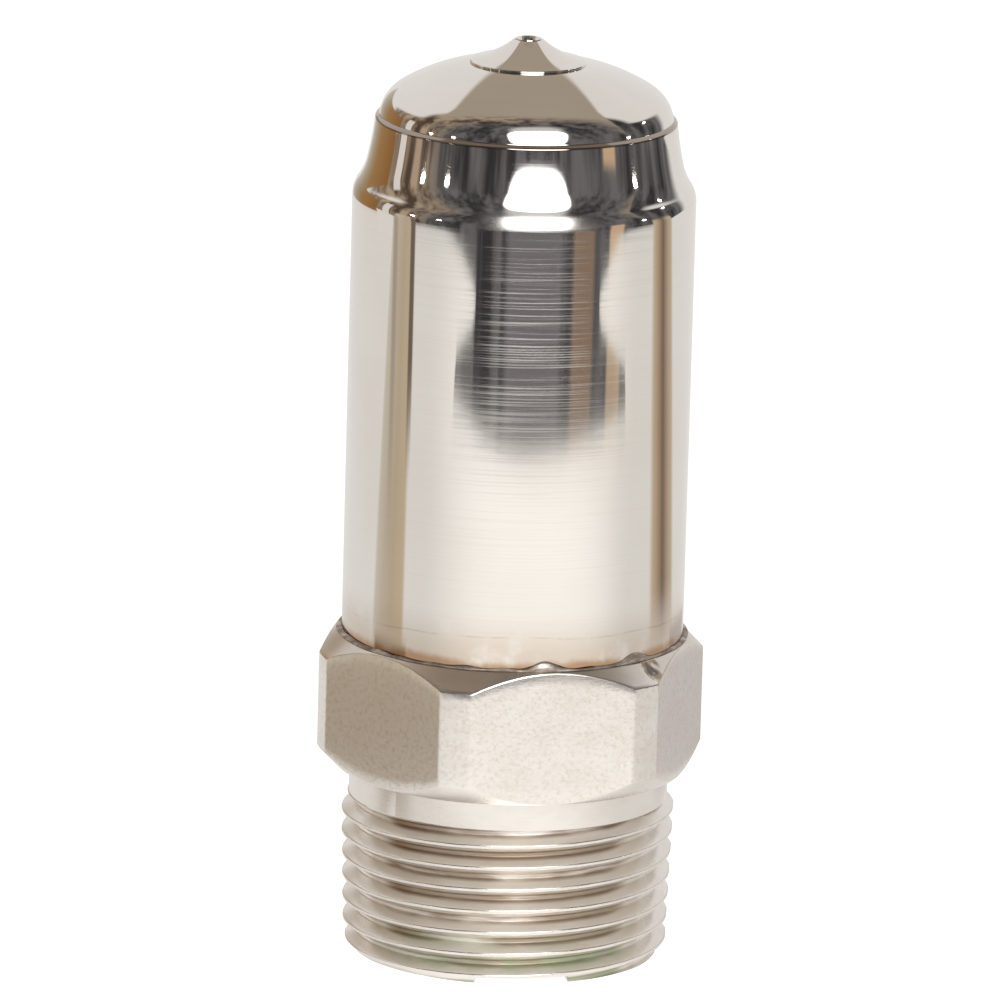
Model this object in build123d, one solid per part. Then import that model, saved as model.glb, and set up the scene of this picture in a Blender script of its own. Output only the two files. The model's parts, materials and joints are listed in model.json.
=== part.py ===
from build123d import *
import math
import os

# Thermostatic float air vent for a steam main. Millimetres, +Z up.
# The origin is the centre of the bottom rim, on the axis of the pipe threads.

# Fits and clearances
PRESSED = 0.02           # radial gap between two pieces fixed to each other
RUNNING = 0.06           # radial gap round the sliding pins
SEATED = 0.05            # gap left where two faces meet at the end of a stroke

# The one motion: the float lifts the pin to the seat
STROKE = 1.5

# Pipe threads: 3/4-14 NPT outside, 1/2-14 NPT inside
PITCH = 25.4 / 14
TAPER = 1 / 32           # radius gained per length on a 1:16 taper
FLANK_ANGLE = 30
CREST_FLAT = 0.24
THREAD_HEIGHT = 1.10
CREST_R_AT_RIM = 13.16
THREAD_TOP = 12.9
THREAD_RUNOUT_Z = 12.4
THREAD_LEAD_IN = 1.5     # turns that the groove starts below the rim
THREAD_START = 75.6      # angle the thread is turned by, which sets where the crests fall
RIM_R = 12.35
TAP_DRILL_R = 9.13
TAPPED_TOP = 13.0
MOUTH_R = 10.6
RELIEF_R = 10.0
CUTTER_REACH = 0.6       # how far cutting tools stand out past the surface they cut

# Hexagon base
COLLAR_R = 12.95
HEX_BOTTOM = 15.5
HEX_TOP = 26.5
HEX_ACROSS_FLATS = 28.575
HEX_CORNER_R = 15.8
HEX_CHAMFER_R = 14.2     # radius where both chamfers start
NOTCH_WIDTH = 7.5
NOTCH_DEPTH = 0.7
NOTCH_ANGLE = -96.4      # the notch is a little off the middle of a flat
CHAMBER_R = 11.5
CHAMBER_FLOOR = 17.0
SPIGOT_HEIGHT = 3.0
RING_GROOVE_R = 12.2
RING_GROOVE_Z = 17.8
RING_GROOVE_WIDTH = 1.0
RING_GAP = 4.0

# Drawn shell: straight wall, shoulder, tapered neck, rounded dome
SHELL_WALL = 0.5
SHELL_R = 13.87
SHOULDER_Z = 62.5
SHOULDER_RADIUS = 2.2
SHOULDER_ANGLE = 34
NECK_FILLET = 5.0
NECK_ANGLE = 9
NECK_TOP = 69.0
LEDGE_WIDTH = 0.33       # small step in from the neck to the dome
LEDGE_RISE = 0.15
DOME_EDGE_RADIUS = 3.2
DOME_EDGE_START = 8
DOME_EDGE_ANGLE = 58
LAND_R = 4.75
LAND_Z = 73.5

# Solder between shell and base
FILLET_TOP = HEX_TOP + 0.5
FILLET_EDGE = 0.2        # height of the fillet's outer edge
FILLET_TIP = 0.1         # width of the fillet at its top

# Vent port and seat
PORT_HOLE_R = 3.0
HAT_R = 4.7
HAT_RIM = 0.22
HAT_HOLLOW = 0.25        # how far the hat's cone is hollowed below a straight one
PORT_SOLDER_WIDTH = 1.4
PORT_SOLDER_HEIGHT = 0.8
TIP_R = 1.1
TIP_Z = 75.5
ORIFICE_R = 0.7
BARREL_BOTTOM = 70.0
SEAT_R = 1.6
SEAT_HEIGHT = 1.4
SEAT_CONE_R = 1.15
CUP_WALL = 0.4
CUP_BOTTOM = 66.0
CUP_TOP = 72.0
CUP_FLOOR = 0.6
WINDOWS = 4
WINDOW_WIDTH = 2.2
WINDOW_BOTTOM = 67.0
WINDOW_TOP = 69.4

# Float
FLOAT_R = 10.8
FLOAT_WALL = 0.3
FLOAT_BOTTOM = 24.2
FLOAT_TOP = 61.5
FLOAT_CORNER = 2.0
END_RING_R = 9.0
SOLDER = 0.3             # thickness of the solder under the float's edge
SEAM_WIDTH = 0.25
SEAM_HEIGHT = 1.2
FILLING_X = 5.5
FILLING_R = 0.6
PIN_R = 0.9
PIN_TIP_R = 0.3
PIN_SOCKET = 0.8         # height of the valve pin's lower end in its boss
FOOT_SOCKET = 1.8        # depth that the foot's pin is pressed into it
FOOT_PIN_BOTTOM = 15.4
FOOT_PIN_CHAMFER = 0.3
FOOT_RIM = 0.6           # height of the foot's widest part
BOSS_R = 2.6
BOSS_HEIGHT = 2.5
BOSS_NECK_R = 1.7
BOSS_FLANGE = 0.6        # thickness of the boss's flange, and the height of its slope
FOOT_R = 2.6
FOOT_BOTTOM = 20.2 + SEATED
DIAPHRAGM_THICKNESS = 0.2
DIAPHRAGM_RIM_Z = 24.9
DIAPHRAGM_CENTRE_Z = 24.1
CORRUGATIONS = 3
CORRUGATION_DEPTH = 0.18
GUIDE_TIP_R = 13.1
GUIDE_Z = 58.0
GUIDE_THICKNESS = 0.5
GUIDE_TABS = 4
GUIDE_TAB_WIDTH = 3.0
GUIDE_RING_WIDTH = 0.6

# Support under the float
SUPPORT_R = 11.4
SUPPORT_RIM_R = 9.9
SUPPORT_THICKNESS = 0.8
SUPPORT_ARMS = 4
ARM_WIDTH = 2.6
HUB_R = 3.4
OVERLAP = 0.3            # how far the arms run into the hub and the rim
BUSH_R = 1.9
BUSH_TOP = 20.2
BUSH_STEM_R = 2.1
FLANGE_R = 3.1
FLANGE_THICKNESS = 0.7
RIVET_R = 2.3
RIVET_THICKNESS = 0.6
SNAP_RING_R = 10.7
SNAP_RING_SLACK = 0.1


def crest_radius(z):
    """Radius of the pipe thread's crests at a height."""
    return CREST_R_AT_RIM + z * TAPER


def turned(*outline):
    """Solid turned about the axis from closed outlines of (radius, height) points."""
    with BuildPart() as part:
        with BuildSketch(Plane.XZ):
            with BuildLine():
                Polyline(*outline, close=True)
            make_face()
        revolve(axis=Axis.Z)
    return part.part


def tube(inner, outer, bottom, top):
    """Plain ring about the axis."""
    return turned((inner, bottom), (outer, bottom), (outer, top), (inner, top))


def rod(radius, bottom, top):
    """Plain round bar on the axis."""
    return turned((0, bottom), (radius, bottom), (radius, top), (0, top))


def from_axis(length, width, bottom, top, start=0):
    """Bar that runs out along +X from a distance `start` off the axis."""
    bar = Box(length, width, top - bottom, align=(Align.MIN, Align.CENTER, Align.MIN))
    return Pos(start, 0, bottom) * bar


def around(count, shape, start=0):
    """Copies of a shape, evenly spaced about the axis."""
    return [shape.rotate(Axis.Z, start + 360 / count * i) for i in range(count)]


def thread_groove():
    """V groove that winds up the stem's taper and runs out into the collar."""
    start = -THREAD_LEAD_IN * PITCH
    crest = crest_radius(start)
    outside = crest + CUTTER_REACH
    half_mouth = (PITCH - CREST_FLAT) / 2
    half_root = half_mouth - THREAD_HEIGHT * math.tan(math.radians(FLANK_ANGLE))
    path = Helix(
        PITCH,
        THREAD_RUNOUT_Z - start,
        crest,
        center=(0, 0, start),
        cone_angle=math.degrees(math.atan(TAPER)),
    )
    section = Polyline(
        (crest - THREAD_HEIGHT, start - half_root),
        (crest, start - half_mouth),
        (outside, start - half_mouth),
        (outside, start + half_mouth),
        (crest, start + half_mouth),
        (crest - THREAD_HEIGHT, start + half_root),
        close=True,
    )
    return sweep(Plane.XZ * make_face(section), path=path, is_frenet=True)


def threaded_stem():
    """Tapered stem with a chamfered rim and a plain collar, cut by the helical thread."""
    chamfer = CREST_R_AT_RIM - RIM_R
    step = crest_radius(THREAD_TOP) - COLLAR_R
    blank = turned(
        (0, 0),
        (RIM_R, 0),
        (crest_radius(chamfer), chamfer),
        (crest_radius(THREAD_TOP - step), THREAD_TOP - step),
        (COLLAR_R, THREAD_TOP),
        (COLLAR_R, HEX_BOTTOM + 1),
        (0, HEX_BOTTOM + 1),
    )
    return (blank - thread_groove()).rotate(Axis.Z, THREAD_START)


def hexagon():
    """Wrench hexagon with its corners turned off and both ends chamfered."""
    flats = HEX_ACROSS_FLATS / 2
    blank = extrude(
        RegularPolygon(flats, 6, major_radius=False),
        amount=HEX_TOP - HEX_BOTTOM,
    )
    blank = Pos(0, 0, HEX_BOTTOM) * blank
    chamfer_height = HEX_CORNER_R - HEX_CHAMFER_R
    turned_limit = turned(
        (0, HEX_BOTTOM),
        (HEX_CHAMFER_R, HEX_BOTTOM),
        (HEX_CORNER_R, HEX_BOTTOM + chamfer_height),
        (HEX_CORNER_R, HEX_TOP - chamfer_height),
        (HEX_CHAMFER_R, HEX_TOP),
        (0, HEX_TOP),
    )
    return blank & turned_limit


def base_hollow():
    """Tapped inlet from below, float chamber from above, and the snap ring's groove."""
    countersink = MOUTH_R - TAP_DRILL_R
    spigot_top = HEX_TOP + SPIGOT_HEIGHT
    groove_top = RING_GROOVE_Z + RING_GROOVE_WIDTH
    return turned(
        (0, -1),
        (MOUTH_R, -1),
        (MOUTH_R, 0),
        (TAP_DRILL_R, countersink / 2),
        (TAP_DRILL_R, TAPPED_TOP),
        (RELIEF_R, TAPPED_TOP),
        (RELIEF_R, CHAMBER_FLOOR),
        (CHAMBER_R, CHAMBER_FLOOR),
        (CHAMBER_R, RING_GROOVE_Z),
        (RING_GROOVE_R, RING_GROOVE_Z),
        (RING_GROOVE_R, groove_top),
        (CHAMBER_R, groove_top),
        (CHAMBER_R, spigot_top + 1),
        (0, spigot_top + 1),
    )


def hex_base():
    """Machined body: threaded stem, hexagon and the spigot that the shell fits over."""
    spigot_r = SHELL_R - SHELL_WALL - PRESSED
    spigot = rod(spigot_r, HEX_TOP - 1, HEX_TOP + SPIGOT_HEIGHT)
    notch = from_axis(RIM_R + 1 + CUTTER_REACH, NOTCH_WIDTH, -NOTCH_DEPTH, NOTCH_DEPTH).rotate(Axis.Z, NOTCH_ANGLE)
    return threaded_stem() + hexagon() + spigot - base_hollow() - notch


def shell_outline(inset):
    """Half outline of the shell, drawn `inset` inside its outer surface."""
    shoulder = math.radians(SHOULDER_ANGLE)
    neck = math.radians(NECK_ANGLE)
    edge_start = math.radians(DOME_EDGE_START)
    edge = math.radians(DOME_EDGE_ANGLE)
    wall = SHELL_R - inset
    shoulder_r = SHOULDER_RADIUS - inset
    fillet_r = NECK_FILLET + inset
    bend = (
        SHELL_R - SHOULDER_RADIUS * (1 - math.cos(shoulder)),
        SHOULDER_Z + SHOULDER_RADIUS * math.sin(shoulder),
    )
    fillet_centre = (
        bend[0] + NECK_FILLET * math.cos(shoulder),
        bend[1] + NECK_FILLET * math.sin(shoulder),
    )

    def on_shoulder(angle):
        centre_r = SHELL_R - SHOULDER_RADIUS
        return (centre_r + shoulder_r * math.cos(angle), SHOULDER_Z + shoulder_r * math.sin(angle))

    def on_fillet(angle):
        return (
            fillet_centre[0] - fillet_r * math.cos(angle),
            fillet_centre[1] - fillet_r * math.sin(angle),
        )

    cone_start = on_fillet(neck)
    outer_neck_r = (
        fillet_centre[0]
        - NECK_FILLET * math.cos(neck)
        - (NECK_TOP - fillet_centre[1] + NECK_FILLET * math.sin(neck)) * math.tan(neck)
    )
    neck_r = outer_neck_r - inset
    cone_top = cone_start[1] + (cone_start[0] - neck_r) / math.tan(neck)
    edge_r = DOME_EDGE_RADIUS - inset
    dome_centre = (
        outer_neck_r - LEDGE_WIDTH - DOME_EDGE_RADIUS * math.cos(edge_start),
        NECK_TOP + LEDGE_RISE - DOME_EDGE_RADIUS * math.sin(edge_start),
    )

    def on_dome_edge(angle):
        return (dome_centre[0] + edge_r * math.cos(angle), dome_centre[1] + edge_r * math.sin(angle))

    crown_start = on_dome_edge(edge)
    crown_tangent = (-math.sin(edge), math.cos(edge))
    land = (LAND_R, LAND_Z - inset)
    return [
        Line((wall, HEX_TOP), (wall, SHOULDER_Z)),
        ThreePointArc((wall, SHOULDER_Z), on_shoulder(shoulder / 2), on_shoulder(shoulder)),
        ThreePointArc(on_shoulder(shoulder), on_fillet((shoulder + neck) / 2), cone_start),
        Line(cone_start, (neck_r, cone_top)),
        Line((neck_r, cone_top), on_dome_edge(edge_start)),
        ThreePointArc(on_dome_edge(edge_start), on_dome_edge((edge_start + edge) / 2), crown_start),
        TangentArc(crown_start, land, tangent=crown_tangent),
        Line(land, (PORT_HOLE_R, LAND_Z - inset)),
    ]


def outer_shell():
    """Drawn and polished shell with the port's hole in its dome."""
    outside = shell_outline(0)
    inside = shell_outline(SHELL_WALL)
    foot = Line((SHELL_R, HEX_TOP), (SHELL_R - SHELL_WALL, HEX_TOP))
    hole = Line((PORT_HOLE_R, LAND_Z), (PORT_HOLE_R, LAND_Z - SHELL_WALL))
    face = Plane.XZ * make_face([*outside, hole, *inside, foot])
    return revolve(face, axis=Axis.Z)


def joint_solder():
    """Thin fillet of solder in the corner between shell and base."""
    inner = SHELL_R + PRESSED
    return turned(
        (inner, HEX_TOP),
        (HEX_CHAMFER_R, HEX_TOP),
        (HEX_CHAMFER_R, HEX_TOP + FILLET_EDGE),
        (inner + FILLET_TIP, FILLET_TOP),
        (inner, FILLET_TOP),
    )


def vent_port():
    """Port bush: pointed hat on the dome, barrel through it, passage to the tip."""
    rim_top = LAND_Z + HAT_RIM
    middle = ((HAT_R + TIP_R - HAT_HOLLOW) / 2, (rim_top + TIP_Z) / 2 - HAT_HOLLOW)
    barrel_r = PORT_HOLE_R - PRESSED
    seat_hole = SEAT_R + PRESSED
    seat_top = BARREL_BOTTOM + SEAT_HEIGHT
    outline = [
        Polyline(
            (TIP_R, TIP_Z),
            (ORIFICE_R, TIP_Z),
            (ORIFICE_R, seat_top),
            (seat_hole, seat_top),
            (seat_hole, BARREL_BOTTOM),
            (barrel_r, BARREL_BOTTOM),
            (barrel_r, LAND_Z),
            (HAT_R, LAND_Z),
            (HAT_R, rim_top),
        ),
        ThreePointArc((HAT_R, rim_top), middle, (TIP_R, TIP_Z)),
    ]
    return revolve(Plane.XZ * make_face(outline), axis=Axis.Z)


def port_solder():
    """Ring of solder that holds the port in the dome from inside."""
    under_dome = LAND_Z - SHELL_WALL
    inner = PORT_HOLE_R
    return turned(
        (inner, under_dome),
        (inner + PORT_SOLDER_WIDTH, under_dome),
        (inner, under_dome - PORT_SOLDER_HEIGHT),
    )


def seat_insert():
    """Hard seat pressed into the port, with a 45 degree cone for the pin."""
    cone = SEAT_CONE_R - ORIFICE_R
    return turned(
        (SEAT_CONE_R, BARREL_BOTTOM),
        (SEAT_R, BARREL_BOTTOM),
        (SEAT_R, BARREL_BOTTOM + SEAT_HEIGHT),
        (ORIFICE_R, BARREL_BOTTOM + SEAT_HEIGHT),
        (ORIFICE_R, BARREL_BOTTOM + cone),
    )


def pin_guide():
    """Cup under the port: its floor steers the pin and its windows let the air in."""
    inner = PORT_HOLE_R
    outer = inner + CUP_WALL
    cup = turned(
        (PIN_R + RUNNING, CUP_BOTTOM),
        (outer, CUP_BOTTOM),
        (outer, CUP_TOP),
        (inner, CUP_TOP),
        (inner, CUP_BOTTOM + CUP_FLOOR),
        (PIN_R + RUNNING, CUP_BOTTOM + CUP_FLOOR),
    )
    window = from_axis(2 * outer, WINDOW_WIDTH, WINDOW_BOTTOM, WINDOW_TOP)
    for opening in around(WINDOWS, window, start=45):
        cup -= opening
    return cup


def float_can():
    """Drawn cup of the float, open at the bottom where the diaphragm closes it."""
    inner = FLOAT_R - FLOAT_WALL
    filling_hole = Pos(FILLING_X, 0, FLOAT_TOP) * Cylinder(FILLING_R, 4)
    can = fillet(rod(FLOAT_R, FLOAT_BOTTOM, FLOAT_TOP).edges().group_by(Axis.Z)[-1], FLOAT_CORNER)
    hollow = rod(inner, FLOAT_BOTTOM - 1, FLOAT_TOP - FLOAT_WALL)
    hollow = fillet(hollow.edges().group_by(Axis.Z)[-1], FLOAT_CORNER - FLOAT_WALL)
    return can - hollow - filling_hole


def fill_plug():
    """Drop of solder that seals the hole the float was charged through."""
    low = (Align.CENTER, Align.CENTER, Align.MIN)
    drop = Sphere(2 * FILLING_R) & Cylinder(2 * FILLING_R, FILLING_R, align=low)
    stem = Pos(0, 0, -FLOAT_WALL) * Cylinder(FILLING_R - PRESSED, 2 * FLOAT_WALL, align=low)
    return Pos(FILLING_X, 0, FLOAT_TOP) * (drop + stem)


def float_end_ring():
    """Stiff ring that clamps the diaphragm's rim in the mouth of the float."""
    outer = FLOAT_R - FLOAT_WALL - PRESSED
    return tube(END_RING_R, outer, FLOAT_BOTTOM - SOLDER, DIAPHRAGM_RIM_Z - DIAPHRAGM_THICKNESS)


def float_seam_solder():
    """Solder fillet round the float's lower edge."""
    inner = FLOAT_R - FLOAT_WALL
    return turned(
        (inner, FLOAT_BOTTOM - SOLDER),
        (FLOAT_R + SEAM_WIDTH - PRESSED, FLOAT_BOTTOM - SOLDER),
        (FLOAT_R + SEAM_WIDTH, FLOAT_BOTTOM),
        (FLOAT_R + PRESSED, FLOAT_BOTTOM + SEAM_HEIGHT),
        (FLOAT_R + PRESSED, FLOAT_BOTTOM),
        (inner, FLOAT_BOTTOM),
    )


def diaphragm_height(radius):
    """Underside of the diaphragm: a shallow dish with ring corrugations."""
    span = END_RING_R - FOOT_R
    along = min(max((radius - FOOT_R) / span, 0), 1)
    dish = DIAPHRAGM_CENTRE_Z + along * (DIAPHRAGM_RIM_Z - DIAPHRAGM_THICKNESS - DIAPHRAGM_CENTRE_Z)
    wave = CORRUGATION_DEPTH * (1 - math.cos(2 * math.pi * CORRUGATIONS * along)) / 2
    return dish + wave


def float_diaphragm():
    """Thin corrugated disc that bulges when the charge in the float boils."""
    rim = FLOAT_R - FLOAT_WALL - PRESSED
    steps = 8 * CORRUGATIONS
    radii = [FOOT_R + (END_RING_R - FOOT_R) * i / steps for i in range(steps + 1)]
    below = [(r, diaphragm_height(r)) for r in [0, *radii, rim]]
    above = [(r, z + DIAPHRAGM_THICKNESS) for r, z in reversed(below)]
    return turned(*below, *above)


def diaphragm_foot():
    """Button under the diaphragm's middle, which stands on the support."""
    return turned(
        (PIN_R + PRESSED, FOOT_BOTTOM),
        (BUSH_R, FOOT_BOTTOM),
        (FOOT_R, DIAPHRAGM_CENTRE_Z - FOOT_RIM),
        (FOOT_R, DIAPHRAGM_CENTRE_Z),
        (0, DIAPHRAGM_CENTRE_Z),
        (0, FOOT_BOTTOM + FOOT_SOCKET),
        (PIN_R + PRESSED, FOOT_BOTTOM + FOOT_SOCKET),
    )


def foot_pin():
    """Pin pressed into the foot, sliding in the support's bush."""
    return turned(
        (0, FOOT_PIN_BOTTOM),
        (PIN_R - FOOT_PIN_CHAMFER, FOOT_PIN_BOTTOM),
        (PIN_R, FOOT_PIN_BOTTOM + FOOT_PIN_CHAMFER),
        (PIN_R, FOOT_BOTTOM + FOOT_SOCKET),
        (0, FOOT_BOTTOM + FOOT_SOCKET),
    )


def pin_boss():
    """Boss on top of the float that holds the valve pin."""
    top = FLOAT_TOP + BOSS_HEIGHT
    socket = FLOAT_TOP + PIN_SOCKET
    hole = PIN_R + PRESSED
    return turned(
        (0, FLOAT_TOP),
        (BOSS_R, FLOAT_TOP),
        (BOSS_R, FLOAT_TOP + BOSS_FLANGE),
        (BOSS_NECK_R, FLOAT_TOP + 2 * BOSS_FLANGE),
        (BOSS_NECK_R, top),
        (hole, top),
        (hole, socket),
        (0, socket),
    )


def valve_pin():
    """Needle with a 45 degree tip that closes the seat at the top of the stroke."""
    seat_apex = BARREL_BOTTOM + SEAT_CONE_R
    tip = seat_apex - PIN_TIP_R - SEATED - STROKE
    return turned(
        (0, FLOAT_TOP + PIN_SOCKET),
        (PIN_R, FLOAT_TOP + PIN_SOCKET),
        (PIN_R, tip - (PIN_R - PIN_TIP_R)),
        (PIN_TIP_R, tip),
        (0, tip),
    )


def float_guide_ring():
    """Star washer soldered round the float: its tabs keep it clear of the shell."""
    top = GUIDE_Z + GUIDE_THICKNESS
    ring = tube(FLOAT_R + PRESSED, FLOAT_R + GUIDE_RING_WIDTH, GUIDE_Z, top)
    tab = from_axis(GUIDE_TIP_R, GUIDE_TAB_WIDTH, GUIDE_Z, top)
    limit = tube(FLOAT_R + GUIDE_RING_WIDTH / 2, GUIDE_TIP_R, GUIDE_Z, top)
    for finger in around(GUIDE_TABS, tab & limit, start=45):
        ring += finger
    return ring


def float_support():
    """Stamped spider on the chamber's floor, open between its arms for steam and water."""
    top = CHAMBER_FLOOR + SUPPORT_THICKNESS
    spider = tube(SUPPORT_RIM_R, SUPPORT_R, CHAMBER_FLOOR, top)
    spider += tube(BUSH_R + PRESSED, HUB_R, CHAMBER_FLOOR, top)
    arm_length = SUPPORT_RIM_R - HUB_R + 2 * OVERLAP
    arm = from_axis(arm_length, ARM_WIDTH, CHAMBER_FLOOR, top, start=HUB_R - OVERLAP)
    for spoke in around(SUPPORT_ARMS, arm, start=45):
        spider += spoke
    return spider


def support_bush():
    """Flanged bush riveted into the spider, which guides the foot's pin."""
    hole = PIN_R + RUNNING
    top = CHAMBER_FLOOR + SUPPORT_THICKNESS
    return turned(
        (hole, CHAMBER_FLOOR - RIVET_THICKNESS),
        (RIVET_R, CHAMBER_FLOOR - RIVET_THICKNESS),
        (RIVET_R, CHAMBER_FLOOR),
        (BUSH_R, CHAMBER_FLOOR),
        (BUSH_R, top),
        (FLANGE_R, top),
        (FLANGE_R, top + FLANGE_THICKNESS),
        (BUSH_STEM_R, top + FLANGE_THICKNESS),
        (BUSH_STEM_R, BUSH_TOP),
        (hole, BUSH_TOP),
    )


def support_snap_ring():
    """Split ring in the base's groove that holds the spider down."""
    outer = RING_GROOVE_R - SNAP_RING_SLACK
    top = RING_GROOVE_Z + RING_GROOVE_WIDTH - SNAP_RING_SLACK
    gap = from_axis(outer + 1, RING_GAP, RING_GROOVE_Z - 1, top + 1)
    return tube(SNAP_RING_R, outer, RING_GROOVE_Z, top) - gap


PIECES = {
    "hex_base": hex_base,
    "outer_shell": outer_shell,
    "joint_solder": joint_solder,
    "vent_port": vent_port,
    "port_solder": port_solder,
    "seat_insert": seat_insert,
    "pin_guide": pin_guide,
    "float_can": float_can,
    "fill_plug": fill_plug,
    "float_end_ring": float_end_ring,
    "float_seam_solder": float_seam_solder,
    "float_diaphragm": float_diaphragm,
    "diaphragm_foot": diaphragm_foot,
    "foot_pin": foot_pin,
    "pin_boss": pin_boss,
    "valve_pin": valve_pin,
    "float_guide_ring": float_guide_ring,
    "float_support": float_support,
    "support_bush": support_bush,
    "support_snap_ring": support_snap_ring,
}

os.makedirs("parts", exist_ok=True)
for node, make in PIECES.items():
    shape = make()
    shape.label = node
    export_step(shape, f"parts/{node}.step")
    print(f"{node:20s} {shape.volume:10.2f} mm3 {len(shape.solids())} solid(s)")
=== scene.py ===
import json
import math

import bmesh
import bpy
import numpy as np
from mathutils import Matrix, Vector


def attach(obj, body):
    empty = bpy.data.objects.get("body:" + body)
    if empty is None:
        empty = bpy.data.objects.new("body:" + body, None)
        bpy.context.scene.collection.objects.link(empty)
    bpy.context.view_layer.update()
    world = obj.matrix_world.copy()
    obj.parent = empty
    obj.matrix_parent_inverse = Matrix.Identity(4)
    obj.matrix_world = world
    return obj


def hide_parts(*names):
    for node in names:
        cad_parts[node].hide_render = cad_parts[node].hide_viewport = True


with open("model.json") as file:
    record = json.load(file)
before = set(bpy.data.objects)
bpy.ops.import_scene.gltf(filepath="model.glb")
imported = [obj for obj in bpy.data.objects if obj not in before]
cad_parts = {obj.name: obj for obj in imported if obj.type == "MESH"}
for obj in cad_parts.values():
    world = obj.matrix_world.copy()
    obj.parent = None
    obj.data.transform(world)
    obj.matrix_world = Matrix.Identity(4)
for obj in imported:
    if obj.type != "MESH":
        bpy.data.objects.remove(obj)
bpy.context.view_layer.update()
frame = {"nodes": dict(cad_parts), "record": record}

# Automatic air vent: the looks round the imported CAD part. Pieces are drawn in millimetres
# about the axis of the threads, +Z up, and scaled to metres when their mesh is made.
# A bearing is a direction about that axis in degrees: 0 is the side of the object that the
# photo shows, and positive bearings are to the right of it.
MM = 0.001

# Pipe threads
PITCH = 25.4 / 14
TAPER = 1 / 32
FLANK_SLOPE = math.tan(math.radians(30))
CREST_FLAT = 0.24
THREAD_DEPTH = 1.10
CREST_R_AT_RIM = 13.16
THREAD_TOP = 12.9
THREAD_START = 75.6      # angle of the outside thread at the rim
THREAD_ROWS = 259        # rows of points up the outside thread, 0.05 mm apart
DEEPEST_WEAR = 0.06      # the most that use has taken off a crest
RIM_R = 12.35
TAP_R = 9.13
TAP_DEPTH = 0.8
TAP_START = THREAD_START + 140
TAP_ROWS = 164           # rows of points down the inside thread, 0.08 mm apart
TAPPED_TOP = 13.0
MOUTH_R = 10.6
RELIEF_R = 10.0

# Hexagon base
COLLAR_R = 12.95
HEX_BOTTOM = 15.5
HEX_TOP = 26.5
HEX_FLAT = 28.575 / 2
HEX_CORNER_R = 15.8
HEX_CHAMFER_R = 14.2
EDGE_BREAK = 0.05        # how far the edges of the flats are rounded
TURNED_BREAK = 0.03      # the same on the turned edges beside them
DENT_BEARING = 50
DENT_HALF_WIDTH = 5      # degrees
DENT_DEPTH = 0.20
NOTCH_HALF_WIDTH = 3.75
NOTCH_DEPTH = 0.7
NOTCH_ANGLE = -96.4
CHAMBER_R = 11.5
CHAMBER_FLOOR = 17.0
SPIGOT_R = 13.35
SPIGOT_TOP = 29.5
GROOVE_R = 12.2
GROOVE_BOTTOM = 17.8
GROOVE_TOP = 18.8

# Drawn shell
SHELL_WALL = 0.5
SHELL_R = 13.87
SHOULDER_Z = 62.5
SHOULDER_RADIUS = 2.2
SHOULDER_ANGLE = 34
NECK_FILLET = 5.0
NECK_ANGLE = 9
NECK_TOP = 69.0
NECK_HOLLOW = 4          # degrees by which the neck's slope changes either way of its cone
LEDGE_WIDTH = 0.33
LEDGE_RISE = 0.15
DOME_EDGE_RADIUS = 3.2
DOME_EDGE_START = 8
DOME_EDGE_ANGLE = 58
LAND_R = 4.75
LAND_Z = 73.5
PORT_HOLE_R = 3.0
WAVE = 0.010             # how far polishing has left the shell out of round
RAGGED_MOST = 0.5        # highest that the ragged lower edge rises, away from the drips
RAGGED_REACH = 2.2       # height over which the raggedness fades out
SHARP_TURN = 18          # degrees from which an edge is left sharp

# Solder run: bearing, half width in degrees and size of each drip
DRIPS = ((11, 7, 1.0), (46, 8, 0.8), (150, 9, 0.5), (-115, 6, 0.6))
LIP_R = 14.06
LIP_R_LEAST = 13.98
LIP_R_MOST = 14.16
LIP_AT_SIDES = 0.28      # extra width of the lip towards +X and -X
CLIMB_LEAST = 0.05       # of the solder up the shell
CLIMB_MOST = 1.2
SOLDER_GAP = 0.02        # between the shell's wall and the solder mesh

# Vent port
HAT_R = 4.7
HAT_RIM = 0.22
HAT_HOLLOW = 0.25        # how far the middle of the hat's slope sags, and half of it inward
TIP_R = 1.1
TIP_Z = 75.5
ORIFICE_R = 0.7
BARREL_R = PORT_HOLE_R - 0.02
BARREL_BOTTOM = 70.0
SEAT_R = 1.62
SEAT_TOP = 71.4

# Main camera, at bearing 0
CAMERA_AZIMUTH = -14
CAMERA_ELEVATION = 13.18
CAMERA_DISTANCE = 1000
CAMERA_TARGET_Z = 44.3
CAMERA_ROLL = 1.6
SENSOR_WIDTH = 36
FOCAL = 12.365           # focal length in frame widths
TARGET_RIGHT = 0.0182    # where the target falls, in frame widths from the middle
TARGET_UP = 0.0838

# Studio
PAPER_COLOUR = (1, 0.98, 0.955)
PAPER_STRENGTH = 1.15
PAPER_BEARING = 8
PAPER_REACH = 202
BEHIND_CARDS = 100       # degrees from the paper's bearing at which the side cards hide it
LOBE_DISTANCE = 150
LOBE_SPAN = 75           # degrees
LOBE_TIP_Z = 26.2
LOBE_ROUNDING = 3        # degrees over which a lobe's tip is rounded
LOBE_OVER_TIP = 0.6      # height of the rounding over the tip
LOBE_UNDER_TIP = 3       # and under it
LOBE_CLIMB = 6.3         # how far a lobe's upper edge climbs from the tip
LOBE_CLIMB_SPAN = 30     # degrees over which it does
LOBE_SLOPE = 0.24        # fall of its lower edge per degree, up to the foot
FOOT_SLOPE = 2           # extra fall per degree from there on
WINDOW_BEARING = 10
LAMP_DISTANCE = 900
LAMP_TARGET_Z = 60


# ---------------------------------------------------------------- outlines

def arc(centre, radius, start, stop, count):
    """Points (r, z) along an arc, angles in degrees from +r towards +z."""
    angles = np.radians(np.linspace(start, stop, count))
    return np.stack([centre[0] + radius * np.cos(angles), centre[1] + radius * np.sin(angles)], -1)


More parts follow.
